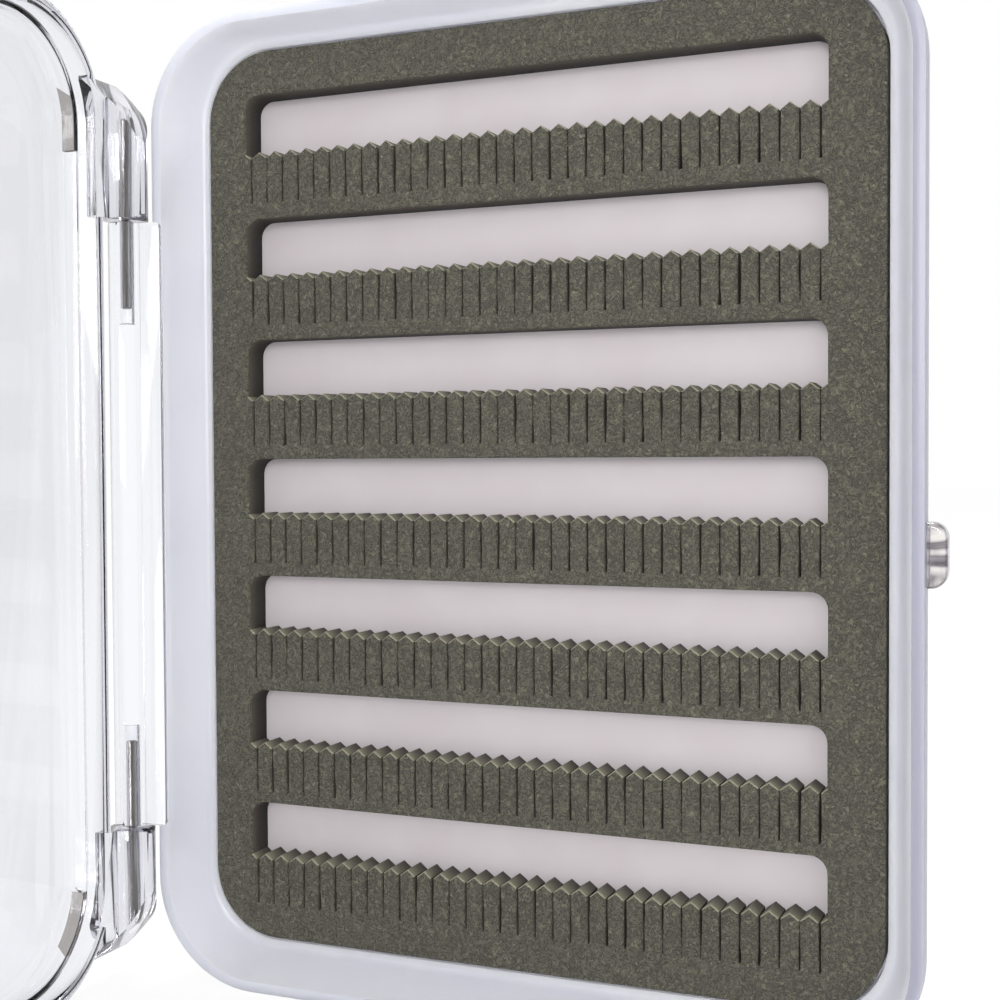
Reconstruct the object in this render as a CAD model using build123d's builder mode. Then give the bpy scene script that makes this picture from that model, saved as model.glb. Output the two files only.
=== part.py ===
from build123d import *
from math import cos, radians, sin, tan
import os

# Slit-foam fly box, standing open on its short end like a book.
# Millimetres. X runs across the base from the hinge to the catch, Y points out of the
# back of the base, Z is up along the hinge. The origin is the middle of the base band's foot.

# ---- the two half shells
BOX_W = 99.0            # across, hinge edge to catch edge
BOX_H = 127.0           # along the hinge
BASE_D = 11.6           # base, rim to back
LID_D = 6.0             # lid, rim to outer face of the panel
CORNER_R = 14.0         # rounded corners of both outlines
RIM_T = 1.35            # flat top of the rim
BAND_D = 3.4            # straight band behind each rim
BAND_STEP = 0.7         # the body behind the band steps in by this much
BODY_TAPER = 11.0       # degrees, outside of the base body
BACK_FILLET = 2.4       # outer edge of the back
RIM_GAP = 0.3           # between the rims when shut

# ---- slit foam, its backing sheet and their seat in the base
FOAM_SINK = 5.0         # foam face below the base's rim
FOAM_T = 4.0
BACKING_T = 0.6
FOAM_W = 88.5
FOAM_H = 117.4
FOAM_R = 9.0
FOAM_ASIDE = 0.5        # foam sits this much nearer the catch than the hinge
FOAM_UP = 0.87          # and this much above mid height
FOAM_PLAY = 0.3         # all round the foam in its pocket
LEDGE_W = 1.0           # flat ledge around the pocket
LEDGE_DROP = 0.3        # foam face stands this much above the ledge
COVE_R = 1.2            # between the ledge and the sloping wall

ROW_COUNT = 7
ROW_PITCH = 16.16       # first row to second; the rows close up towards the foot
PITCH_LESS = 0.224      # each pitch shorter than the one above
TOP_STRIP = 5.75        # foam above the first window
WINDOW_H = 8.2          # first window, top to the valleys between the teeth
WINDOW_LESS = 0.09      # each window lower than the one above
WINDOW_R = 2.0
SLIT_COUNT = 33
TOOTH_PITCH = 2.336
TOOTH_H = 0.8
END_TOOTH = 0.85        # last valley to the window's side
SLIT_L = 5.85           # slit below each valley
SLIT_W = 0.3

# ---- lid
LID_OPEN = 90.0         # degrees from shut, as modelled
LID_PANEL = 1.5
LID_TAPER = 4.0
LID_EDGE_FILLET = 1.8
CORNER_RIB_H = 1.8      # ledge round each pair of corners, against the panel
CORNER_RIB_T = 0.9
UPPER_RIB_REACH = 17.3  # how far the upper one comes down the hinge and latch walls
LOWER_RIB_REACH = 12.6  # and how far the lower one comes up

# ---- hinge
HINGE_REACH = 4.3       # pin axis outside the band
HINGE_TOP = 10.3        # lid's upper knuckle ends this far below the box's top
HINGE_FOOT = 6.25       # and the lower one this far above its foot
BASE_KNUCKLE_R = 2.3
LID_KNUCKLE_R = 3.0
UPPER_KNUCKLE_L = 15.4
LOWER_KNUCKLE_L = 13.9
KNUCKLE_GAP = 0.45      # between neighbouring knuckles
KNUCKLE_FILLET = 1.0
LEAF_PROUD = 0.12       # hinge leaf above the base rim
LEAF_LAP = 1.4          # and this far over it, from the band
WEB_T = 2.2             # web from knuckle to band
DOME_L = 7.2            # rounded outer end of a lid knuckle
DOME_BULGE = 0.9
GUSSET_L = 3.0          # fairing from knuckle end to lid corner
PIN_R = 0.75
PIN_L = 25.2
PIN_IN_BASE = 11.5      # length of pin inside the base knuckle
PIN_VOID = 2.0          # bore past the pin's end
PIN_PLAY = 0.05         # radial running clearance
PIN_CHAMFER = 0.2

# ---- catch nub and latch
CATCH_DROP = 4.8        # catch centre below mid height
NUB_L = 7.3
NUB_T = 3.0
NUB_OUT = 2.2
NUB_SINK = 1.6          # rim to the near side of the nub
NUB_FLAT = 0.4          # straight part of the nub's top and foot
NUB_FILLET = 0.6
LATCH_W = 15.0          # along the hinge direction
LATCH_T = 1.7
LATCH_LIFT = 0.4        # latch plate stands off the band
LATCH_WINDOW_PLAY = 0.45
LATCH_TAIL = 3.0        # plate past the window
LATCH_FLARE = 1.3       # finger tip bent outwards
LATCH_BARREL_R = 1.8
WINDOW_CORNER = 0.8
TAB_CORNER = 3.0
LATCH_GAP = 0.3         # latch to lug, each end
LATCH_OPEN = 75.0       # degrees from latched, as modelled
PIVOT_OUT = 2.4         # latch pin outside the lid's band
PIVOT_UP = 2.4          # latch pin above the rim
LUG_T = 2.6
LUG_R = 2.0
LUG_ROOT = 1.0          # lug's root inside the lid wall
LATCH_PIN_INSET = 0.3   # pin ends below the lugs' outer faces

# ---- worked out from the sizes above
MID_Z = BOX_H / 2
RIM_Y = -BAND_D / 2
BACK_Y = RIM_Y + BASE_D
EDGE_X = BOX_W / 2
FOAM_Y = RIM_Y + FOAM_SINK
LEDGE_Y = FOAM_Y + LEDGE_DROP
POCKET_Y = FOAM_Y + FOAM_T + BACKING_T
POCKET_W = FOAM_W + 2 * FOAM_PLAY
POCKET_H = FOAM_H + 2 * FOAM_PLAY
POCKET_R = FOAM_R + FOAM_PLAY
WINDOW_HALF = (SLIT_COUNT - 1) * TOOTH_PITCH / 2 + END_TOOTH
HINGE_X = -EDGE_X - HINGE_REACH
KNUCKLE_FOOT = HINGE_FOOT + LOWER_KNUCKLE_L + KNUCKLE_GAP
KNUCKLE_TOP = BOX_H - HINGE_TOP - UPPER_KNUCKLE_L - KNUCKLE_GAP
BASE_KNUCKLE_L = KNUCKLE_TOP - KNUCKLE_FOOT
HINGE_Z = (KNUCKLE_TOP + KNUCKLE_FOOT) / 2
CATCH_Z = MID_Z - CATCH_DROP
BORE_R = PIN_R + PIN_PLAY
BAND_U = HINGE_REACH                     # hinge axis to the lid's near band face
LATCH_U = HINGE_REACH + BOX_W            # hinge axis to the lid's far band face
PIVOT_U = LATCH_U + PIVOT_OUT
PIVOT_V = RIM_GAP + PIVOT_UP


def base_plane(y):
    """Plane across the base at depth y, facing the open side, centred on the box."""
    return Plane(origin=(0, y, MID_Z), x_dir=(1, 0, 0), z_dir=(0, -1, 0))


def foam_plane(y):
    """The same, centred on the foam and its pocket."""
    return Plane(origin=(FOAM_ASIDE, y, MID_Z + FOAM_UP), x_dir=(1, 0, 0), z_dir=(0, -1, 0))


def swing(angle):
    """Directions 'across the lid' and 'away from the base' for a lid opened by angle."""
    a = radians(angle)
    return (cos(a), -sin(a), 0), (-sin(a), -cos(a), 0)


def lid_plane(v):
    """Plane across the opened lid, v above the parting plane, with u = 0 on the hinge axis."""
    across, out = swing(LID_OPEN)
    foot = Plane(origin=(HINGE_X, RIM_Y, MID_Z), x_dir=across, z_dir=out)
    return foot.offset(v)


def hinge_section(angle, z):
    """Plane square to the hinge at height z; local x is u and local y is v."""
    across, _ = swing(angle)
    return Plane(origin=(HINGE_X, RIM_Y, z), x_dir=across, z_dir=(0, 0, -1))


def latch_section(angle, z):
    """Plane square to the latch pin at height z, turned with the latch."""
    pivot = hinge_section(LID_OPEN, z).from_local_coords((PIVOT_U, PIVOT_V, 0))
    across, _ = swing(LID_OPEN + angle)
    return Plane(origin=pivot, x_dir=across, z_dir=(0, 0, -1))


def latch_face(angle):
    """Plane square to the latch plate on the pin axis; local x runs up the box, y along the plate."""
    across, _ = swing(LID_OPEN + angle)
    section = latch_section(angle, CATCH_Z)
    return Plane(origin=section.origin, x_dir=(0, 0, 1), z_dir=across)


# ---------------------------------------------------------------- base tray
BODY_W = BOX_W - 2 * BAND_STEP
BODY_H = BOX_H - 2 * BAND_STEP
LEAF_W = BASE_KNUCKLE_R + HINGE_REACH + LEAF_LAP

# centre knuckle and its leaf over the rim: a plan profile trimmed to its front outline
with BuildPart() as base_knuckle:
    with BuildSketch(hinge_section(0, KNUCKLE_TOP)):
        Circle(BASE_KNUCKLE_R)
        with Locations((0, LEAF_PROUD)):
            Rectangle(HINGE_REACH + LEAF_LAP, WEB_T + LEAF_PROUD, align=(Align.MIN, Align.MAX))
    extrude(amount=BASE_KNUCKLE_L)
    with BuildSketch(Plane(origin=(HINGE_X, RIM_Y, HINGE_Z), x_dir=(1, 0, 0), z_dir=(0, -1, 0))):
        with Locations((LEAF_W / 2 - BASE_KNUCKLE_R, 0)):
            RectangleRounded(LEAF_W, BASE_KNUCKLE_L, KNUCKLE_FILLET)
    extrude(amount=BASE_KNUCKLE_R + WEB_T, both=True, mode=Mode.INTERSECT)

# catch nub: a rounded block standing out of the band
with BuildPart() as nub:
    with BuildSketch(base_plane(RIM_Y + NUB_SINK)):
        with Locations((EDGE_X, -CATCH_DROP)):
            RectangleRounded(2 * NUB_OUT, NUB_L, NUB_OUT - NUB_FLAT)
    extrude(amount=-NUB_T)
    with BuildSketch(base_plane(RIM_Y + NUB_SINK)):
        with Locations((EDGE_X, -CATCH_DROP)):
            Rectangle(2 * NUB_OUT, NUB_L + NUB_OUT, align=(Align.MAX, Align.CENTER))
    extrude(amount=-NUB_T, mode=Mode.SUBTRACT)
    fillet(nub.faces().sort_by(Axis.X)[-1].edges().filter_by(Axis.Z), NUB_FILLET)

with BuildPart() as base_tray:
    with BuildSketch(base_plane(RIM_Y)):
        RectangleRounded(BOX_W, BOX_H, CORNER_R)
    extrude(amount=-BAND_D)
    with BuildSketch(base_plane(RIM_Y + BAND_D)):
        RectangleRounded(BODY_W, BODY_H, CORNER_R - BAND_STEP)
    extrude(amount=-(BASE_D - BAND_D), taper=BODY_TAPER)
    fillet(base_tray.faces().sort_by(Axis.Y)[-1].edges(), BACK_FILLET)

    # sloping inner wall down to a ledge with a cove
    with BuildSketch(base_plane(RIM_Y)):
        RectangleRounded(BOX_W - 2 * RIM_T, BOX_H - 2 * RIM_T, CORNER_R - RIM_T)
    with BuildSketch(foam_plane(LEDGE_Y)):
        RectangleRounded(POCKET_W + 2 * LEDGE_W, POCKET_H + 2 * LEDGE_W, POCKET_R + LEDGE_W)
    loft(mode=Mode.SUBTRACT)
    ledge = base_tray.faces().filter_by(Axis.Y).sort_by(lambda f: abs(f.center().Y - LEDGE_Y))[0]
    fillet(ledge.edges(), COVE_R)

    # straight-sided pocket that holds the foam
    with BuildSketch(foam_plane(LEDGE_Y)):
        RectangleRounded(POCKET_W, POCKET_H, POCKET_R)
    extrude(amount=-(POCKET_Y - LEDGE_Y), mode=Mode.SUBTRACT)

    add(base_knuckle.part)
    add(nub.part)

    # blind pin bores from both ends of the centre knuckle
    with BuildSketch(hinge_section(0, KNUCKLE_TOP)):
        Circle(BORE_R)
    extrude(amount=PIN_IN_BASE + PIN_VOID, mode=Mode.SUBTRACT)
    with BuildSketch(hinge_section(0, KNUCKLE_FOOT)):
        Circle(BORE_R)
    extrude(amount=-(PIN_IN_BASE + PIN_VOID), mode=Mode.SUBTRACT)

# ---------------------------------------------------------------- slit foam
FIRST_ROW = FOAM_UP + FOAM_H / 2 - TOP_STRIP      # top of the first window, above mid height
ROW_TOPS = [FIRST_ROW - i * ROW_PITCH + i * (i - 1) / 2 * PITCH_LESS for i in range(ROW_COUNT)]


def window_outline(top, height):
    """Corner points of one window: square top, then a toothed edge with a slit in each valley."""
    valley = top - height
    shoulder = valley + TOOTH_H * END_TOOTH * 2 / TOOTH_PITCH
    points = [(WINDOW_HALF, top), (-WINDOW_HALF, top), (-WINDOW_HALF, shoulder)]
    for i in range(SLIT_COUNT):
        x = i * TOOTH_PITCH + END_TOOTH - WINDOW_HALF
        points += [
            (x - SLIT_W / 2, valley),
            (x - SLIT_W / 2, valley - SLIT_L),
            (x + SLIT_W / 2, valley - SLIT_L),
            (x + SLIT_W / 2, valley),
            (x + TOOTH_PITCH / 2, valley + TOOTH_H),
        ]
    return points[:-1] + [(WINDOW_HALF, shoulder)]


with BuildPart() as foam_insert:
    with BuildSketch(foam_plane(FOAM_Y)):
        RectangleRounded(FOAM_W, FOAM_H, FOAM_R)
    extrude(amount=-FOAM_T)
    for i, top in enumerate(ROW_TOPS):
        with BuildSketch(base_plane(FOAM_Y)) as window:
            Polygon(*window_outline(top, WINDOW_H - i * WINDOW_LESS), align=None)
            fillet(window.vertices().group_by(Axis.Y)[-1], WINDOW_R)
        extrude(amount=-FOAM_T, mode=Mode.SUBTRACT)

# ---------------------------------------------------------------- backing sheet
with BuildPart() as backing_sheet:
    with BuildSketch(foam_plane(FOAM_Y + FOAM_T)):
        RectangleRounded(FOAM_W, FOAM_H, FOAM_R)
    extrude(amount=-BACKING_T)

# ---------------------------------------------------------------- lid
LID_MID_U = HINGE_REACH + BOX_W / 2
LID_CAVITY_D = LID_D - LID_PANEL


def lid_knuckle(z, length, direction):
    """End knuckle with its inner face at z, running up (1) or down (-1) the box."""
    across, out = swing(LID_OPEN)
    end = length * direction
    fairing = (length + GUSSET_L) * direction
    with BuildPart() as knuckle:
        with BuildSketch(hinge_section(LID_OPEN, z)):
            Circle(LID_KNUCKLE_R)
            with Locations((0, RIM_GAP)):
                Rectangle(BAND_U + RIM_T, WEB_T, align=(Align.MIN, Align.MIN))
        extrude(amount=-fairing)
        # seen from the hinge side: rounded inner corner, domed end, fairing up to the corner
        side_view = Plane(origin=(HINGE_X, RIM_Y, z), x_dir=out, z_dir=-Vector(across))
        with BuildSketch(side_view) as side:
            with BuildLine():
                dome = SagittaArc(
                    (-LID_KNUCKLE_R, end - DOME_L * direction), (0, end), DOME_BULGE * direction
                )
                Polyline(
                    dome @ 1,
                    (RIM_GAP + WEB_T, fairing),
                    (LID_KNUCKLE_R, fairing),
                    (LID_KNUCKLE_R, 0),
                    (-LID_KNUCKLE_R, 0),
                    dome @ 0,
                )
            make_face()
            fillet(side.vertices().sort_by_distance((-LID_KNUCKLE_R, 0))[0], KNUCKLE_FILLET)
        extrude(amount=BAND_U + RIM_T, both=True, mode=Mode.INTERSECT)
    return knuckle.part


def latch_lug(z):
    """Lug on the lid's far band, LUG_T thick, hanging down from height z."""
    with BuildPart() as lug:
        with BuildSketch(hinge_section(LID_OPEN, z)):
            with Locations((PIVOT_U, PIVOT_V)):
                Circle(LUG_R)
                Rectangle(PIVOT_OUT + LUG_ROOT, 2 * LUG_R, align=(Align.MAX, Align.CENTER))
        extrude(amount=LUG_T)
    return lug.part


LUG_TOPS = (
    CATCH_Z + LATCH_W / 2 + LATCH_GAP + LUG_T,
    CATCH_Z - LATCH_W / 2 - LATCH_GAP,
)

with BuildPart() as lid_shell:
    with BuildSketch(lid_plane(RIM_GAP)):
        with Locations((LID_MID_U, 0)):
            RectangleRounded(BOX_W, BOX_H, CORNER_R)
    extrude(amount=BAND_D)
    with BuildSketch(lid_plane(RIM_GAP + BAND_D)):
        with Locations((LID_MID_U, 0)):
            RectangleRounded(BODY_W, BODY_H, CORNER_R - BAND_STEP)
    extrude(amount=LID_D - BAND_D, taper=LID_TAPER)
    outward = Axis(lid_plane(0).origin, lid_plane(0).z_dir)
    fillet(lid_shell.faces().sort_by(outward)[-1].edges(), LID_EDGE_FILLET)

    # the cavity, tapering with the outside
    with BuildSketch(lid_plane(RIM_GAP)):
        with Locations((LID_MID_U, 0)):
            RectangleRounded(BOX_W - 2 * RIM_T, BOX_H - 2 * RIM_T, CORNER_R - RIM_T)
    extrude(amount=LID_CAVITY_D, taper=LID_TAPER, mode=Mode.SUBTRACT)

    # a low rib against the panel, round the two upper and the two lower corners
    RIB_V = RIM_GAP + LID_CAVITY_D - CORNER_RIB_H
    RIB_INSET = RIM_T + tan(radians(LID_TAPER)) * (LID_CAVITY_D - CORNER_RIB_H)
    with BuildSketch(lid_plane(RIB_V)):
        with Locations((LID_MID_U, 0)):
            RectangleRounded(BOX_W - 2 * RIM_T, BOX_H - 2 * RIM_T, CORNER_R - RIM_T)
            RectangleRounded(
                BOX_W - 2 * (RIB_INSET + CORNER_RIB_T),
                BOX_H - 2 * (RIB_INSET + CORNER_RIB_T),
                CORNER_R - RIB_INSET - CORNER_RIB_T,
                mode=Mode.SUBTRACT,
            )
            with Locations((0, (LOWER_RIB_REACH - UPPER_RIB_REACH) / 2)):
                Rectangle(BOX_W, BOX_H - UPPER_RIB_REACH - LOWER_RIB_REACH, mode=Mode.SUBTRACT)
    extrude(amount=CORNER_RIB_H)

    # end knuckles and latch lugs
    add(lid_knuckle(KNUCKLE_TOP + KNUCKLE_GAP, UPPER_KNUCKLE_L, 1))
    add(lid_knuckle(KNUCKLE_FOOT - KNUCKLE_GAP, LOWER_KNUCKLE_L, -1))
    add([latch_lug(z) for z in LUG_TOPS])

    # pin holes: through the knuckles for the hinge, through both lugs for the latch
    with BuildSketch(hinge_section(LID_OPEN, BOX_H)):
        Circle(PIN_R)
    extrude(amount=BOX_H - KNUCKLE_TOP - KNUCKLE_GAP, mode=Mode.SUBTRACT)
    with BuildSketch(hinge_section(LID_OPEN, KNUCKLE_FOOT - KNUCKLE_GAP)):
        Circle(PIN_R)
    extrude(amount=KNUCKLE_FOOT - KNUCKLE_GAP, mode=Mode.SUBTRACT)
    with BuildSketch(hinge_section(LID_OPEN, LUG_TOPS[0])):
        with Locations((PIVOT_U, PIVOT_V)):
            Circle(PIN_R)
    extrude(amount=LATCH_W + 2 * (LATCH_GAP + LUG_T), mode=Mode.SUBTRACT)

# ---------------------------------------------------------------- hinge pins
with BuildPart() as hinge_pin_upper:
    with BuildSketch(hinge_section(0, KNUCKLE_TOP - PIN_IN_BASE)):
        Circle(PIN_R)
    extrude(amount=-PIN_L)
    chamfer(hinge_pin_upper.edges().filter_by(GeomType.CIRCLE), PIN_CHAMFER)

with BuildPart() as hinge_pin_lower:
    with BuildSketch(hinge_section(0, KNUCKLE_FOOT + PIN_IN_BASE)):
        Circle(PIN_R)
    extrude(amount=PIN_L)
    chamfer(hinge_pin_lower.edges().filter_by(GeomType.CIRCLE), PIN_CHAMFER)

# ---------------------------------------------------------------- latch
PLATE_NEAR = LATCH_LIFT - PIVOT_OUT                  # plate's inner face, from the pin axis
WINDOW_TOP = -PIVOT_V - NUB_SINK + LATCH_WINDOW_PLAY
WINDOW_FOOT = -PIVOT_V - NUB_SINK - NUB_T - LATCH_WINDOW_PLAY
PLATE_FOOT = WINDOW_FOOT - LATCH_TAIL
LATCH_TOP = CATCH_Z + LATCH_W / 2

with BuildPart() as latch:
    with BuildSketch(latch_section(LATCH_OPEN, LATCH_TOP)):
        Circle(LATCH_BARREL_R)
        with BuildLine():
            Polyline(
                (PLATE_NEAR, 0),
                (PLATE_NEAR, WINDOW_FOOT),
                (PLATE_NEAR + LATCH_FLARE, PLATE_FOOT),
                (PLATE_NEAR + LATCH_FLARE + LATCH_T, PLATE_FOOT),
                (PLATE_NEAR + LATCH_T, WINDOW_FOOT),
                (PLATE_NEAR + LATCH_T, 0),
                close=True,
            )
        make_face()
    extrude(amount=LATCH_W)
    # window that drops over the nub
    with BuildSketch(latch_face(LATCH_OPEN)):
        with Locations((0, (WINDOW_TOP + WINDOW_FOOT) / 2)):
            RectangleRounded(NUB_L + 2 * LATCH_WINDOW_PLAY, WINDOW_TOP - WINDOW_FOOT, WINDOW_CORNER)
    extrude(amount=LATCH_BARREL_R + LATCH_T, both=True, mode=Mode.SUBTRACT)
    # rounded lower corners of the finger tab
    with BuildSketch(latch_face(LATCH_OPEN)):
        with Locations((0, PLATE_FOOT)):
            RectangleRounded(
                LATCH_W,
                2 * (LATCH_BARREL_R - PLATE_FOOT),
                TAB_CORNER,
                align=(Align.CENTER, Align.MIN),
            )
    extrude(amount=LATCH_BARREL_R + LATCH_T + LATCH_FLARE, both=True, mode=Mode.INTERSECT)
    with BuildSketch(latch_section(LATCH_OPEN, LATCH_TOP)):
        Circle(BORE_R)
    extrude(amount=LATCH_W, mode=Mode.SUBTRACT)

with BuildPart() as latch_pin:
    with BuildSketch(latch_section(0, LUG_TOPS[0] - LATCH_PIN_INSET)):
        Circle(PIN_R)
    extrude(amount=LATCH_W + 2 * (LATCH_GAP + LUG_T - LATCH_PIN_INSET))
    chamfer(latch_pin.edges().filter_by(GeomType.CIRCLE), PIN_CHAMFER)

# ---------------------------------------------------------------- write each piece
pieces = {
    "base_tray": base_tray,
    "foam_insert": foam_insert,
    "backing_sheet": backing_sheet,
    "lid_shell": lid_shell,
    "hinge_pin_upper": hinge_pin_upper,
    "hinge_pin_lower": hinge_pin_lower,
    "latch": latch,
    "latch_pin": latch_pin,
}
os.makedirs("parts", exist_ok=True)
for name, piece in pieces.items():
    piece.part.label = name
    export_step(piece.part, f"parts/{name}.step")
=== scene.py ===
import math

import bmesh
import bpy
from mathutils import Matrix, Vector, noise


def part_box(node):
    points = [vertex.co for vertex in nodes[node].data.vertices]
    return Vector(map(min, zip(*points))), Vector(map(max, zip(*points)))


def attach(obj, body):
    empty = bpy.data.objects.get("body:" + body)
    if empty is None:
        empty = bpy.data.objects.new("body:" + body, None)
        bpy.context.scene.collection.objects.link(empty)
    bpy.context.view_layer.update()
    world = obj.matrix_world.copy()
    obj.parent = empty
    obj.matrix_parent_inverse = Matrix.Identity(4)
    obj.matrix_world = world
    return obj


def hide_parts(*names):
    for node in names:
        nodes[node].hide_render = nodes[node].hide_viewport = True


# Slit-foam fly box, standing open on its short end like a book.
# Metres. X runs across the base from the hinge to the catch, Y points out of the base's
# back, Z is up along the hinge. Sizes written in millimetres are multiplied by MM.
MM = 0.001
MERGE = 0.001 * MM            # vertices closer than this are one

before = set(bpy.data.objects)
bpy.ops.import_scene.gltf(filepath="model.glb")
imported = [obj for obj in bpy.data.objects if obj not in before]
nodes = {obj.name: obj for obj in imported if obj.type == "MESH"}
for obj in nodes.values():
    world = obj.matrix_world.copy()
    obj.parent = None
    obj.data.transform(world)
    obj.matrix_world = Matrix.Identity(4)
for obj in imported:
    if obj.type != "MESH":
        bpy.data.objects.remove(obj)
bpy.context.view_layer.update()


# ---------------------------------------------------------------- small helpers
def colour(code):
    """Linear RGBA of an sRGB hex value."""
    parts = [int(code[i:i + 2], 16) / 255 for i in (1, 3, 5)]
    return [p / 12.92 if p <= 0.04045 else ((p + 0.055) / 1.055) ** 2.4 for p in parts] + [1.0]


def add(tree, kind, values=None, stops=(), **settings):
    """Adds a node with its settings; each of its inputs gets a number, a colour or a link.
    A colour ramp also takes its stops, as (position, hex colour) pairs."""
    node = tree.nodes.new(kind)
    for name, value in settings.items():
        setattr(node, name, value)
    if stops:
        marks = node.color_ramp.elements
        for position, _ in stops[1:-1]:
            marks.new(position)
        for mark, (position, code) in zip(marks, stops):
            mark.position, mark.color = position, colour(code)
    for name, value in (values or {}).items():
        socket = node.inputs[name]
        if isinstance(value, bpy.types.NodeSocket):
            tree.links.new(value, socket)
        else:
            socket.default_value = value
    return node


def new_material(name, **surface):
    """A material with one Principled surface, and the Object coordinates for its patterns."""
    mat = bpy.data.materials.new(name)
    mat.use_nodes = True
    tree = mat.node_tree
    tree.nodes.clear()
    bsdf = add(tree, "ShaderNodeBsdfPrincipled", surface)
    add(tree, "ShaderNodeOutputMaterial", {"Surface": bsdf.outputs["BSDF"]})
    place = add(tree, "ShaderNodeTexCoord").outputs["Object"]
    return mat, tree, bsdf, place


# A Mix node has a socket of each name per data type, so its colour sockets go by number.
FACTOR, COLOUR_A, COLOUR_B, COLOUR_OUT = 0, 6, 7, 2


def per_mm(size):
    """Scale of a texture node whose features are to be size millimetres across."""
    return 1 / (size * MM)


def piece(name, bm, materials, body, stands_for, smooth_angle):
    """Makes a finished mesh a piece that rides on its body and stands for a CAD node."""
    mesh = bpy.data.meshes.new(name)
    bm.to_mesh(mesh)
    bm.free()
    for mat in materials:
        mesh.materials.append(mat)
    mesh.polygons.foreach_set("use_smooth", [True] * len(mesh.polygons))
    mesh.set_sharp_from_angle(angle=math.radians(smooth_angle))
    obj = bpy.data.objects.new(name, mesh)
    bpy.context.scene.collection.objects.link(obj)
    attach(obj, body)
    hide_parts(stands_for)
    return obj


# ---------------------------------------------------------------- materials
def slit_foam():
    """Cross-linked EVA foam with its cast skin: dry and matt, with a fine worm-like grain
    that catches the light, and faint darker patches."""
    mat, tree, bsdf, place = new_material("eva_foam_die_cut", Roughness=0.85)
    swirl = add(tree, "ShaderNodeTexNoise", {
        "Vector": place, "Scale": per_mm(0.66), "Detail": 2.0, "Roughness": 0.6, "Distortion": 1.4,
    }).outputs["Fac"]
    off = add(tree, "ShaderNodeMath", {0: swirl, 1: 0.5}, operation="SUBTRACT").outputs[0]
    off = add(tree, "ShaderNodeMath", {0: off}, operation="ABSOLUTE").outputs[0]
    grain = add(tree, "ShaderNodeMapRange", {
        "Value": off, "From Min": 0.0, "From Max": 0.16, "To Min": 1.0, "To Max": 0.0,
    }).outputs["Result"]
    patches = add(tree, "ShaderNodeTexNoise", {
        "Vector": place, "Scale": per_mm(3.5), "Detail": 2.0,
    }).outputs["Fac"]
    shade = add(tree, "ShaderNodeMix", {
        "Factor": 0.2, "A": grain, "B": patches,
    }, data_type="FLOAT").outputs["Result"]
    tone = add(tree, "ShaderNodeValToRGB", {"Fac": shade}, stops=[
        (0.1, "#47443a"), (0.45, "#605d51"), (0.95, "#7f7c68"),
    ]).outputs["Color"]
    bump = add(tree, "ShaderNodeBump", {
        "Height": grain, "Distance": 0.42 * MM, "Strength": 1.0,
    })
    tree.links.new(tone, bsdf.inputs["Base Color"])
    tree.links.new(bump.outputs["Normal"], bsdf.inputs["Normal"])
    bsdf.inputs["Sheen Weight"].default_value = 0.06
    return mat


def foam_depth(tree, place, mottle):
    """0 at the foam's face to 1 at its back, made a little uneven by a pattern; the painted shade in
    the cuts deepens along it.
    """
    lo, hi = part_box("foam_insert")
    along = add(tree, "ShaderNodeSeparateXYZ", {"Vector": place}).outputs["Y"]
    depth = add(tree, "ShaderNodeMapRange", {
        "Value": along, "From Min": lo.y, "From Max": hi.y,
    }).outputs["Result"]
    return add(tree, "ShaderNodeMix", {"Factor": 0.2, "A": depth, "B": mottle},
               data_type="FLOAT").outputs["Result"]


def shaded_cut_foam():
    """The same foam on the knife's cut walls, with pores. Its tone, darker and browner than the face
    and darkening towards the glued back, is painted shade that deepens in the windows."""
    mat, tree, bsdf, place = new_material("eva_foam_cut_wall_painted_shade", Roughness=0.95)
    cells = add(tree, "ShaderNodeTexVoronoi", {"Vector": place, "Scale": per_mm(0.3)})
    depth = foam_depth(tree, place, cells.outputs["Distance"])
    # painted shade: the tone darkens from the face to the glued back
    tone = add(tree, "ShaderNodeValToRGB", {"Fac": depth}, stops=[
        (0.1, "#595448"), (0.45, "#3e3936"), (0.85, "#2b2727"),
    ]).outputs["Color"]
    bump = add(tree, "ShaderNodeBump", {
        "Height": cells.outputs["Distance"], "Distance": 0.05 * MM, "Strength": 0.7,
    })
    tree.links.new(tone, bsdf.inputs["Base Color"])
    tree.links.new(bump.outputs["Normal"], bsdf.inputs["Normal"])
    return mat


def lit_foam():
    """The same foam, a little shiny, where it faces up: pale with painted light from above,
    and darker with painted shade towards the glued back.
    """
    mat, tree, bsdf, place = new_material("eva_foam_painted_light", Roughness=0.7)
    mottle = add(tree, "ShaderNodeTexNoise", {
        "Vector": place, "Scale": per_mm(0.5), "Detail": 2.0, "Distortion": 1.0,
    }).outputs["Fac"]
    depth = foam_depth(tree, place, mottle)
    # painted light at the face, painted shade towards the back
    tone = add(tree, "ShaderNodeValToRGB", {"Fac": depth}, stops=[
        (0.08, "#a3a08b"), (0.22, "#817e6c"), (0.6, "#5d594f"), (0.9, "#3d3935"),
    ]).outputs["Color"]
    bump = add(tree, "ShaderNodeBump", {"Height": mottle, "Distance": 0.05 * MM, "Strength": 0.6})
    tree.links.new(tone, bsdf.inputs["Base Color"])
    tree.links.new(bump.outputs["Normal"], bsdf.inputs["Normal"])
    return mat


def backing_film():
    """Smooth polyethylene foam film: pale pinkish grey with a soft satin face."""
    mat, tree, bsdf, place = new_material("polyethylene_film_satin", Roughness=0.5)
    cloud = add(tree, "ShaderNodeTexNoise", {"Vector": place, "Scale": per_mm(9.0), "Detail": 2.0})
    tone = add(tree, "ShaderNodeValToRGB", {"Fac": cloud.outputs["Fac"]}, stops=[
        (0.35, "#c6bec1"), (0.65, "#cac3c6"),
    ]).outputs["Color"]
    tree.links.new(tone, bsdf.inputs["Base Color"])
    return mat


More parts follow.
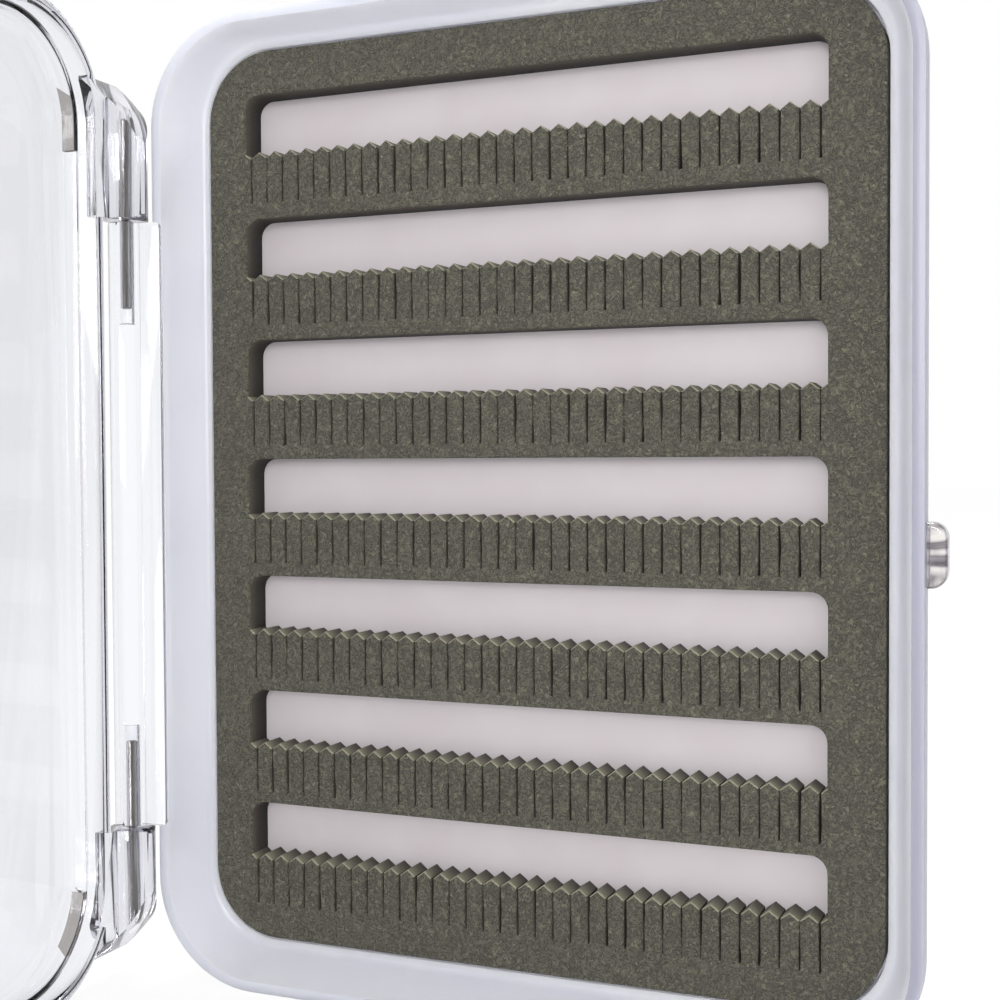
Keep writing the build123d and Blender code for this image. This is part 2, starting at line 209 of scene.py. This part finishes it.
SATIN_TONES = [(0.3, "#e9eaf3"), (0.7, "#eeeff7")]
# the rim's tones: a shade more lavender at the hinge, then painted shade towards the catch
RIM_TONES = [(0.15, "#e3e6f3"), (0.85, "#abaaba")]


def frosted_shell(name, tones, shade_drift):
    """Polycarbonate moulded in a spark-eroded tool: a milky, bluish satin that light soaks into.
    The last argument sets how much painted shade darkens its tone from the hinge to the catch."""
    mat, tree, bsdf, place = new_material(name, Roughness=0.34, IOR=1.58)
    cloud = add(tree, "ShaderNodeTexNoise", {"Vector": place, "Scale": per_mm(14.0), "Detail": 1.0})
    # painted shade: darker from the hinge towards the catch
    across = add(tree, "ShaderNodeSeparateXYZ", {"Vector": place}).outputs["X"]
    shade_across = add(tree, "ShaderNodeMapRange", {
        "Value": across, "From Min": -40.0 * MM, "From Max": 40.0 * MM,
    }).outputs["Result"]
    shade = add(tree, "ShaderNodeMix", {
        "Factor": shade_drift, "A": cloud.outputs["Fac"], "B": shade_across,
    }, data_type="FLOAT").outputs["Result"]
    tone = add(tree, "ShaderNodeValToRGB", {"Fac": shade}, stops=tones).outputs["Color"]
    grit = add(tree, "ShaderNodeTexNoise", {"Vector": place, "Scale": per_mm(0.25), "Detail": 2.0})
    bump = add(tree, "ShaderNodeBump", {
        "Height": grit.outputs["Fac"], "Distance": 0.01 * MM, "Strength": 0.5,
    })
    tree.links.new(tone, bsdf.inputs["Base Color"])
    tree.links.new(bump.outputs["Normal"], bsdf.inputs["Normal"])
    bsdf.inputs["Transmission Weight"].default_value = 0.25
    bsdf.inputs["Subsurface Weight"].default_value = 0.85
    bsdf.inputs["Subsurface Radius"].default_value = (1.0, 1.0, 1.0)
    bsdf.inputs["Subsurface Scale"].default_value = 3.0 * MM
    return mat


# tones by how far a surface turns away; the darker end is painted shade along the edges
CLEAR_TONES = [(0.0, "#f8f9fc"), (0.6, "#f3f4f8"), (0.82, "#bdbac8"), (0.97, "#7a7584")]
# the nub's tones also paint its dark and bright blobs: painted shade and highlight
NUB_TONES = [(0.1, "#f1ede9"), (0.35, "#b9b2b6"), (0.6, "#4d4649"), (0.9, "#8c8694")]


def clear_shell(name, tones=CLEAR_TONES, blob_paint=0.0):
    """Polycarbonate moulded in a polished tool: glass-clear, with faint waves from the moulding.
    Its tone darkens where the surface turns away, which is painted shade for what its edges
    refract. The last argument sets how much painted dark and bright blobs are mixed in, which
    stand in for what a solid core refracts."""
    mat, tree, bsdf, place = new_material(name, IOR=1.58)
    waves = add(tree, "ShaderNodeTexNoise", {"Vector": place, "Scale": per_mm(30.0), "Detail": 1.0})
    bump = add(tree, "ShaderNodeBump", {
        "Height": waves.outputs["Fac"], "Distance": 0.05 * MM, "Strength": 0.5,
    })
    haze = add(tree, "ShaderNodeMapRange", {
        "Value": waves.outputs["Fac"], "From Min": 0.3, "From Max": 0.7, "To Min": 0.01, "To Max": 0.04,
    })
    facing_paint = add(tree, "ShaderNodeLayerWeight", {"Blend": 0.5}).outputs["Facing"]
    # painted dark and bright blobs for the solid nub, mixed in by the last argument
    bands = add(tree, "ShaderNodeMapping", {"Vector": place, "Scale": (0.3, 0.3, 1.0)}).outputs[0]
    marks = add(tree, "ShaderNodeTexNoise", {"Vector": bands, "Scale": per_mm(1.8), "Detail": 1.0})
    painted_blobs = add(tree, "ShaderNodeMapRange", {
        "Value": marks.outputs["Fac"], "From Min": 0.4, "From Max": 0.6,
    }).outputs["Result"]
    shade = add(tree, "ShaderNodeMix", {
        "Factor": blob_paint, "A": facing_paint, "B": painted_blobs,
    }, data_type="FLOAT").outputs["Result"]
    tone = add(tree, "ShaderNodeValToRGB", {"Fac": shade}, stops=tones).outputs["Color"]
    # painted shade: the marked rib ends are painted dark grey
    rib_end_shade = add(tree, "ShaderNodeAttribute", attribute_name="painted_dark_rib_end").outputs["Fac"]
    tone = add(tree, "ShaderNodeMix", {
        FACTOR: rib_end_shade, COLOUR_A: tone, COLOUR_B: colour("#78736f"),
    }, data_type="RGBA").outputs[COLOUR_OUT]
    tree.links.new(tone, bsdf.inputs["Base Color"])
    tree.links.new(haze.outputs["Result"], bsdf.inputs["Roughness"])
    tree.links.new(bump.outputs["Normal"], bsdf.inputs["Normal"])
    bsdf.inputs["Transmission Weight"].default_value = 1.0
    return mat


def clear_lid_shell():
    """The clear shell with the faint smoky lavender of its resin, seen where light passes
    along a wall or through a thick knuckle."""
    mat = clear_shell("polycarbonate_clear_tinted")
    tree = mat.node_tree
    smoke = add(tree, "ShaderNodeVolumeAbsorption", {"Color": colour("#b8b5c2"), "Density": 70.0})
    out = next(n for n in tree.nodes if n.bl_idname == "ShaderNodeOutputMaterial")
    tree.links.new(smoke.outputs["Volume"], out.inputs["Volume"])
    return mat


def pin_wire():
    """Drawn stainless wire, with fine lines along the drawing direction. Its tone is a painted
    reflection: bright at its sides and darker along its middle."""
    mat, tree, bsdf, place = new_material("stainless_wire_drawn", Metallic=1.0)
    along = add(tree, "ShaderNodeMapping", {"Vector": place, "Scale": (1.0, 1.0, 0.02)}).outputs[0]
    lines = add(tree, "ShaderNodeTexNoise", {"Vector": along, "Scale": per_mm(0.15), "Detail": 3.0})
    facing_paint = add(tree, "ShaderNodeLayerWeight", {"Blend": 0.5}).outputs["Facing"]
    shade = add(tree, "ShaderNodeMix", {
        "Factor": 0.25, "A": facing_paint, "B": lines.outputs["Fac"],
    }, data_type="FLOAT").outputs["Result"]
    # painted reflection: dark along the middle, bright at the sides
    tone = add(tree, "ShaderNodeValToRGB", {"Fac": shade}, stops=[
        (0.12, "#3b3633"), (0.22, "#85817e"), (0.36, "#e6e5e4"),
    ]).outputs["Color"]
    rough = add(tree, "ShaderNodeMapRange", {
        "Value": lines.outputs["Fac"], "To Min": 0.16, "To Max": 0.34,
    })
    tree.links.new(tone, bsdf.inputs["Base Color"])
    tree.links.new(rough.outputs["Result"], bsdf.inputs["Roughness"])
    return mat


FOAM = slit_foam()
SHADED_CUT_FOAM = shaded_cut_foam()
LIT_FOAM = lit_foam()
BACKING = backing_film()
FROSTED = frosted_shell("polycarbonate_spark_frosted", SATIN_TONES, shade_drift=0.0)
RIM_BAND = frosted_shell("polycarbonate_frosted_rim", RIM_TONES, shade_drift=0.9)
CLEAR = clear_shell("polycarbonate_polished_clear")
CLEAR_NUB = clear_shell("polycarbonate_clear_solid_nub", NUB_TONES, blob_paint=0.75)
CLEAR_LID = clear_lid_shell()
WIRE = pin_wire()

# ---------------------------------------------------------------- slit foam sheet
ROW_COUNT = 7
ROW_PITCH = 16.16 * MM        # first row to second
PITCH_LESS = 0.224 * MM       # each pitch shorter than the one above
TOP_STRIP = 5.75 * MM
WINDOW_H = 8.2 * MM           # first window, top to valleys
WINDOW_LESS = 0.09 * MM       # each window lower than the one above
WINDOW_R = 2.0 * MM
SHEET_R = 9.0 * MM
SLIT_COUNT = 33
TOOTH_PITCH = 2.336 * MM
TOOTH_H = 0.8 * MM
END_TOOTH = 0.85 * MM
SLIT_L = 5.85 * MM
SLIT_W = 0.19 * MM
SLIT_CUTS = 5                 # points along a slit's side, where it can bend
EDGE_ROLL = 0.24 * MM         # radius of the rolled front edges
ROLL_STEPS = 3
SINK = 0.05 * MM              # how far the front sinks on average
WANDER = 0.06 * MM            # how far a cut strays from straight
ZONE_MARGIN = 1.5 * MM        # past the windows' sides, where no face is a cut one
TINY = 0.01 * MM
FIRST_SLIT = -(SLIT_COUNT - 1) * TOOTH_PITCH / 2
WINDOW_HALF = END_TOOTH - FIRST_SLIT


def polyline(bm, points):
    """Joins points (x, z) in the foam's face plane with edges, and gives the vertices."""
    verts = [bm.verts.new((x, 0, z)) for x, z in points]
    for pair in zip(verts, verts[1:]):
        bm.edges.new(pair)
    return verts


def round_corners(bm, verts, radius, segments):
    bmesh.ops.bevel(
        bm, geom=verts, offset=radius, offset_type="OFFSET", segments=segments, profile=0.5,
        affect="VERTICES", material=-1, clamp_overlap=False,
    )


def copies(bm, count, step):
    """Repeats all there is count times; step gives the shift of copy i."""
    first = bm.verts[:] + bm.edges[:]
    for i in range(1, count):
        made = bmesh.ops.duplicate(bm, geom=first)["geom"]
        moved = [g for g in made if isinstance(g, bmesh.types.BMVert)]
        bmesh.ops.translate(bm, verts=moved, vec=step(i))


def toothed_row(bm):
    """One row's teeth and slits, valleys at z = 0."""
    half, slit = TOOTH_PITCH / 2, SLIT_W / 2
    polyline(bm, [(-half, TOOTH_H), (-slit, 0), (-slit, -SLIT_L),
                  (slit, -SLIT_L), (slit, 0), (half, TOOTH_H)])
    sides = [e for e in bm.edges if abs(e.verts[0].co.x - e.verts[1].co.x) < TINY]
    bmesh.ops.subdivide_edges(bm, edges=sides, cuts=SLIT_CUTS)
    bmesh.ops.translate(bm, verts=bm.verts, vec=(FIRST_SLIT, 0, 0))
    copies(bm, SLIT_COUNT, lambda i: (i * TOOTH_PITCH, 0, 0))
    bmesh.ops.remove_doubles(bm, verts=bm.verts, dist=MERGE)
    ends = [min(bm.verts, key=lambda v: v.co.x), max(bm.verts, key=lambda v: v.co.x)]
    for end, x in zip(ends, (-WINDOW_HALF, WINDOW_HALF)):
        end.co = (x, 0, TOOTH_H * END_TOOTH / half)


def crooked(v):
    """Every knife cut is a little crooked, and some stand open wider than others."""
    number = round((v.co.x - FIRST_SLIT) / TOOTH_PITCH)
    middle = FIRST_SLIT + number * TOOTH_PITCH
    aside = v.co.x - middle
    if abs(aside) < SLIT_W:
        gape = noise.noise(Vector((number * 3.7, v.co.z / MM * 0.25, 1.0)))
        aside *= 0.95 + 1.5 * gape
    wander = noise.noise(Vector((v.co.x / MM * 0.9, v.co.z / MM * 0.45, 3.0)))
    v.co.x = middle + aside + WANDER * wander


def foam_sheet():
    lo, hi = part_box("foam_insert")
    bm = bmesh.new()
    toothed_row(bm)
    drop = [i * ROW_PITCH - i * (i - 1) / 2 * PITCH_LESS for i in range(ROW_COUNT)]
    height = [WINDOW_H - i * WINDOW_LESS for i in range(ROW_COUNT)]
    copies(bm, ROW_COUNT, lambda i: (0, 0, height[0] - height[i] - drop[i]))
    for v in bm.verts:
        crooked(v)
    bmesh.ops.translate(bm, verts=bm.verts, vec=(0, 0, hi.z - TOP_STRIP - height[0]))

    # the straight sides and top of each window, from the row's two loose ends
    loose = sorted((v for v in bm.verts if len(v.link_edges) == 1), key=lambda v: -v.co.z)
    corners = []
    for i in range(ROW_COUNT):
        left, right = sorted(loose[2 * i:2 * i + 2], key=lambda v: v.co.x)
        top = hi.z - TOP_STRIP - drop[i]
        a, b = bm.verts.new((left.co.x, 0, top)), bm.verts.new((right.co.x, 0, top))
        corners += [a, b]
        for pair in ((left, a), (a, b), (b, right)):
            bm.edges.new(pair)
    round_corners(bm, corners, WINDOW_R, 7)

    # outline of the sheet
    outline = polyline(bm, [(lo.x, lo.z), (hi.x, lo.z), (hi.x, hi.z), (lo.x, hi.z)])
    bm.edges.new((outline[3], outline[0]))
    round_corners(bm, outline, SHEET_R, 14)
    bmesh.ops.triangle_fill(bm, edges=bm.edges, use_beauty=True, normal=(0, -1, 0))
    bmesh.ops.dissolve_limit(bm, angle_limit=math.radians(0.5), verts=[], edges=bm.edges)

    # thickness, up to where the front edges begin to roll
    bmesh.ops.translate(bm, verts=bm.verts, vec=(0, hi.y, 0))
    grown = bmesh.ops.extrude_face_region(bm, geom=bm.faces[:])["geom"]
    moved = [g for g in grown if isinstance(g, bmesh.types.BMVert)]
    bmesh.ops.translate(bm, verts=moved, vec=(0, lo.y + EDGE_ROLL - hi.y, 0))
    bmesh.ops.recalc_face_normals(bm, faces=bm.faces)
    front = [f for f in bm.faces if f.normal.y < -0.9]

    # the knife drags the front edges in, so they are rolled
    for i in range(ROLL_STEPS):
        near, far = (math.radians(90 * k / ROLL_STEPS) for k in (i, i + 1))
        bmesh.ops.inset_region(
            bm, faces=front, use_even_offset=True, use_boundary=True,
            thickness=EDGE_ROLL * (math.cos(near) - math.cos(far)),
            depth=EDGE_ROLL * (math.sin(far) - math.sin(near)),
        )
    bmesh.ops.triangulate(bm, faces=bm.faces, quad_method="BEAUTY", ngon_method="BEAUTY")
    return bm


def soften(bm):
    """The cut foam is never quite flat: its face sinks and swells a little from slit to slit.
    Its tooth slopes that face up get painted light from above, and its other cut walls painted shade."""
    face_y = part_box("foam_insert")[0].y
    cut_zone = WINDOW_HALF + ZONE_MARGIN
    for v in bm.verts:
        if v.co.y < face_y + EDGE_ROLL:
            swell = noise.noise(Vector((v.co.x / MM * 0.35, v.co.z / MM * 0.35, 8.0)))
            v.co.y += SINK * (1 + swell)
    for face in bm.faces:
        middle, normal = face.calc_center_median(), face.normal
        flat = abs(middle.x) > cut_zone or abs(normal.y) > 0.97
        # tooth slopes facing up: foam with painted light; other cut walls: foam with painted shade
        if not flat and normal.z > 0.25 and abs(normal.x) > 0.1:
            face.material_index = 2
        elif not flat and abs(normal.y) < 0.2:
            face.material_index = 1
    return bm


piece("slit_foam_sheet", soften(foam_sheet()), [FOAM, SHADED_CUT_FOAM, LIT_FOAM],
      body="base", stands_for="foam_insert", smooth_angle=50)


# ---------------------------------------------------------------- moulded shells
EDGE_ROUND = 0.12 * MM    # on the mouldings' sharp edges


def skin(node, finish):
    """A joined copy of a moulded CAD node, its sharp edges rounded as the mould leaves them.
    finish gives the number of the material for a face, from its middle."""
    bm = bmesh.new()
    bm.from_mesh(nodes[node].data)
    bmesh.ops.remove_doubles(bm, verts=bm.verts, dist=MERGE)
    bmesh.ops.dissolve_limit(bm, angle_limit=math.radians(0.2), verts=[], edges=bm.edges)
    sharp = [e for e in bm.edges if e.is_manifold and e.calc_face_angle() > math.radians(35)]
    bmesh.ops.bevel(
        bm, geom=sharp, offset=EDGE_ROUND, offset_type="OFFSET", segments=2, profile=0.5,
        affect="EDGES", material=-1, clamp_overlap=True,
    )
    bmesh.ops.triangulate(bm, faces=bm.faces, quad_method="BEAUTY", ngon_method="BEAUTY")
    for face in bm.faces:
        face.material_index = finish(face.calc_center_median())
    return bm


# where the ends of the lid's two corner ribs lie, by the hinge
RIB_X = (-58.5 * MM, -56.7 * MM)
RIB_Y = (-12.0 * MM, -7.7 * MM)
UPPER_RIB_Z = (109.4 * MM, 117.0 * MM)
LOWER_RIB_Z = (5.0 * MM, 12.9 * MM)


def mark_dark_rib_ends(bm):
    """Marks the ends of the lid's corner ribs by the hinge, which the clear material paints dark grey
    as painted shade.
    """
    mark = bm.faces.layers.float.new("painted_dark_rib_end")
    for face in bm.faces:
        x, y, z = face.calc_center_median()
        at_end = any(low < z < high for low, high in (UPPER_RIB_Z, LOWER_RIB_Z))
        inward = face.normal.y < -0.6 or face.normal.x > 0.9
        if RIB_X[0] < x < RIB_X[1] and RIB_Y[0] < y < RIB_Y[1] and at_end and inward:
            face[mark] = 1.0
    return bm


EDGE_X = 49.5 * MM        # half the tray's width
EDGE_Z = 63.5 * MM        # half its height
EDGE_R = 14.0 * MM
RIM_Y = -1.7 * MM
BAND_D = 3.5 * MM


def base_finish(middle):
    """The hinge knuckle with its leaf and the catch nub are polished. The tray is frosted, and its
    rim, with the band round it where the mould halves meet, is a shade more lavender, darkened
    towards the catch by painted shade."""
    if middle.x > EDGE_X + 0.05 * MM:
        return 2
    if middle.x < -EDGE_X - 0.05 * MM or middle.y < RIM_Y - 0.02 * MM:
        return 1
    out_x = max(abs(middle.x) - EDGE_X + EDGE_R, 0)
    out_z = max(abs(middle.z - EDGE_Z) - EDGE_Z + EDGE_R, 0)
    on_side = math.hypot(out_x, out_z) > EDGE_R - 0.15 * MM and middle.y < RIM_Y + BAND_D
    return 3 if on_side or middle.y < RIM_Y + 0.15 * MM else 0


def one_finish(middle):
    return 0


piece("base_shell", skin("base_tray", base_finish), [FROSTED, CLEAR, CLEAR_NUB, RIM_BAND],
      body="base", stands_for="base_tray", smooth_angle=30)
piece("clear_lid", mark_dark_rib_ends(skin("lid_shell", one_finish)), [CLEAR_LID],
      body="lid", stands_for="lid_shell", smooth_angle=30)
piece("clear_latch", skin("latch", one_finish), [CLEAR_LID],
      body="latch", stands_for="latch", smooth_angle=30)

for name, mat in (("backing_sheet", BACKING), ("hinge_pin_upper", WIRE),
                  ("hinge_pin_lower", WIRE), ("latch_pin", WIRE)):
    mesh = nodes[name].data
    mesh.materials.clear()
    mesh.materials.append(mat)

# ---------------------------------------------------------------- floor, light and camera
scene = bpy.context.scene
scene.view_settings.view_transform = "Standard"

# The room is a white studio with a dark ceiling; its soft light comes mostly from the front.
# The camera sees it plain white, and mirrors and clear plastic see the ceiling too.
SOFT_FROM = (0.2, -0.94, -0.28)

world = bpy.data.worlds.new("studio")
scene.world = world
world.use_nodes = True
tree = world.node_tree
tree.nodes.clear()
path = add(tree, "ShaderNodeLightPath")
toward = add(tree, "ShaderNodeTexCoord").outputs["Generated"]
front = add(tree, "ShaderNodeVectorMath", {0: toward, 1: SOFT_FROM},
            operation="DOT_PRODUCT").outputs["Value"]
height = add(tree, "ShaderNodeSeparateXYZ", {"Vector": toward}).outputs["Z"]
soft = add(tree, "ShaderNodeMapRange", {
    "Value": front, "From Min": -0.3, "From Max": 1.0, "To Min": 0.6, "To Max": 1.25,
}, interpolation_type="SMOOTHSTEP").outputs["Result"]
mirrored = add(tree, "ShaderNodeMapRange", {
    "Value": height, "From Min": 0.75, "From Max": 0.95, "To Min": 1.0, "To Max": 0.4,
}, interpolation_type="SMOOTHSTEP").outputs["Result"]
gloss = add(tree, "ShaderNodeMath", {
    0: path.outputs["Is Glossy Ray"], 1: path.outputs["Is Transmission Ray"],
}, operation="MAXIMUM").outputs[0]
level = add(tree, "ShaderNodeMix", {
    "Factor": gloss, "A": soft, "B": mirrored,
}, data_type="FLOAT").outputs["Result"]
level = add(tree, "ShaderNodeMix", {
    "Factor": path.outputs["Is Camera Ray"], "A": level, "B": 1.0,
}, data_type="FLOAT").outputs["Result"]
glow = add(tree, "ShaderNodeBackground", {"Color": colour("#ffffff"), "Strength": level})
add(tree, "ShaderNodeOutputWorld", {"Surface": glow.outputs["Background"]})

FLOOR_HALF = 3.0
FLOOR_Z = -0.05 * MM
PAPER_GLOW = 1.04         # strength at which the seen paper is as white as the room
PAPER_SHARE = 0.88        # how much of it is that glow; the rest keeps the object's shadow

floor_bm = bmesh.new()
bmesh.ops.create_grid(floor_bm, x_segments=1, y_segments=1, size=FLOOR_HALF)
bmesh.ops.translate(floor_bm, verts=floor_bm.verts, vec=(0, 0, FLOOR_Z))
floor_mesh = bpy.data.meshes.new("floor")
floor_bm.to_mesh(floor_mesh)
floor_bm.free()
floor = bpy.data.objects.new("floor", floor_mesh)
scene.collection.objects.link(floor)
paper = bpy.data.materials.new("paper_floor")
paper.use_nodes = True
tree = paper.node_tree
tree.nodes.clear()
path = add(tree, "ShaderNodeLightPath")
gloss = add(tree, "ShaderNodeMath", {
    0: path.outputs["Is Glossy Ray"], 1: path.outputs["Is Transmission Ray"],
}, operation="MAXIMUM").outputs[0]
seen = add(tree, "ShaderNodeMath", {
    0: gloss, 1: path.outputs["Is Camera Ray"],
}, operation="MAXIMUM").outputs[0]
sheet = add(tree, "ShaderNodeBsdfDiffuse", {"Color": colour("#f2f2f2")})
white = add(tree, "ShaderNodeEmission", {"Color": colour("#ffffff"), "Strength": PAPER_GLOW})
share = add(tree, "ShaderNodeMath", {0: seen, 1: PAPER_SHARE}, operation="MULTIPLY")
both = add(tree, "ShaderNodeMixShader", {0: share.outputs[0]})
tree.links.new(sheet.outputs[0], both.inputs[1])
tree.links.new(white.outputs[0], both.inputs[2])
add(tree, "ShaderNodeOutputMaterial", {"Surface": both.outputs[0]})
floor_mesh.materials.append(paper)


def soft_lamp(name, place, aim, size, power):
    lamp = bpy.data.lights.new(name, "AREA")
    lamp.shape = "SQUARE"
    lamp.size = size
    lamp.energy = power
    obj = bpy.data.objects.new(name, lamp)
    scene.collection.objects.link(obj)
    obj.location = place
    obj.rotation_euler = (Vector(aim) - Vector(place)).to_track_quat("-Z", "Y").to_euler()


soft_lamp("key", place=(0.1, -1.0, 0.25), aim=(0, 0, 0.06), size=0.3, power=3.8)
soft_lamp("back", place=(0, 0.25, 0.9), aim=(0, 0, 0.1), size=0.3, power=6.0)

# camera: its place, and its right, down and forward in the object's axes
CAMERA_PLACE = Vector((69.33, -167.39, 69.7)) * MM
FOCAL_LENGTH = 53.866
RIGHT = Vector((0.922742, 0.385385, -0.005110))
DOWN = Vector((0.006519, -0.028863, -0.999562))
FORWARD = Vector((-0.385364, 0.922304, -0.029146))
lens = bpy.data.cameras.new("camera")
lens.sensor_width = 36.0
lens.lens = FOCAL_LENGTH
lens.clip_start, lens.clip_end = 0.01, 20.0
camera = bpy.data.objects.new("camera", lens)
scene.collection.objects.link(camera)
turn = Matrix((RIGHT, -DOWN, -FORWARD)).transposed().to_4x4()
camera.matrix_world = Matrix.Translation(CAMERA_PLACE) @ turn
scene.camera = camera
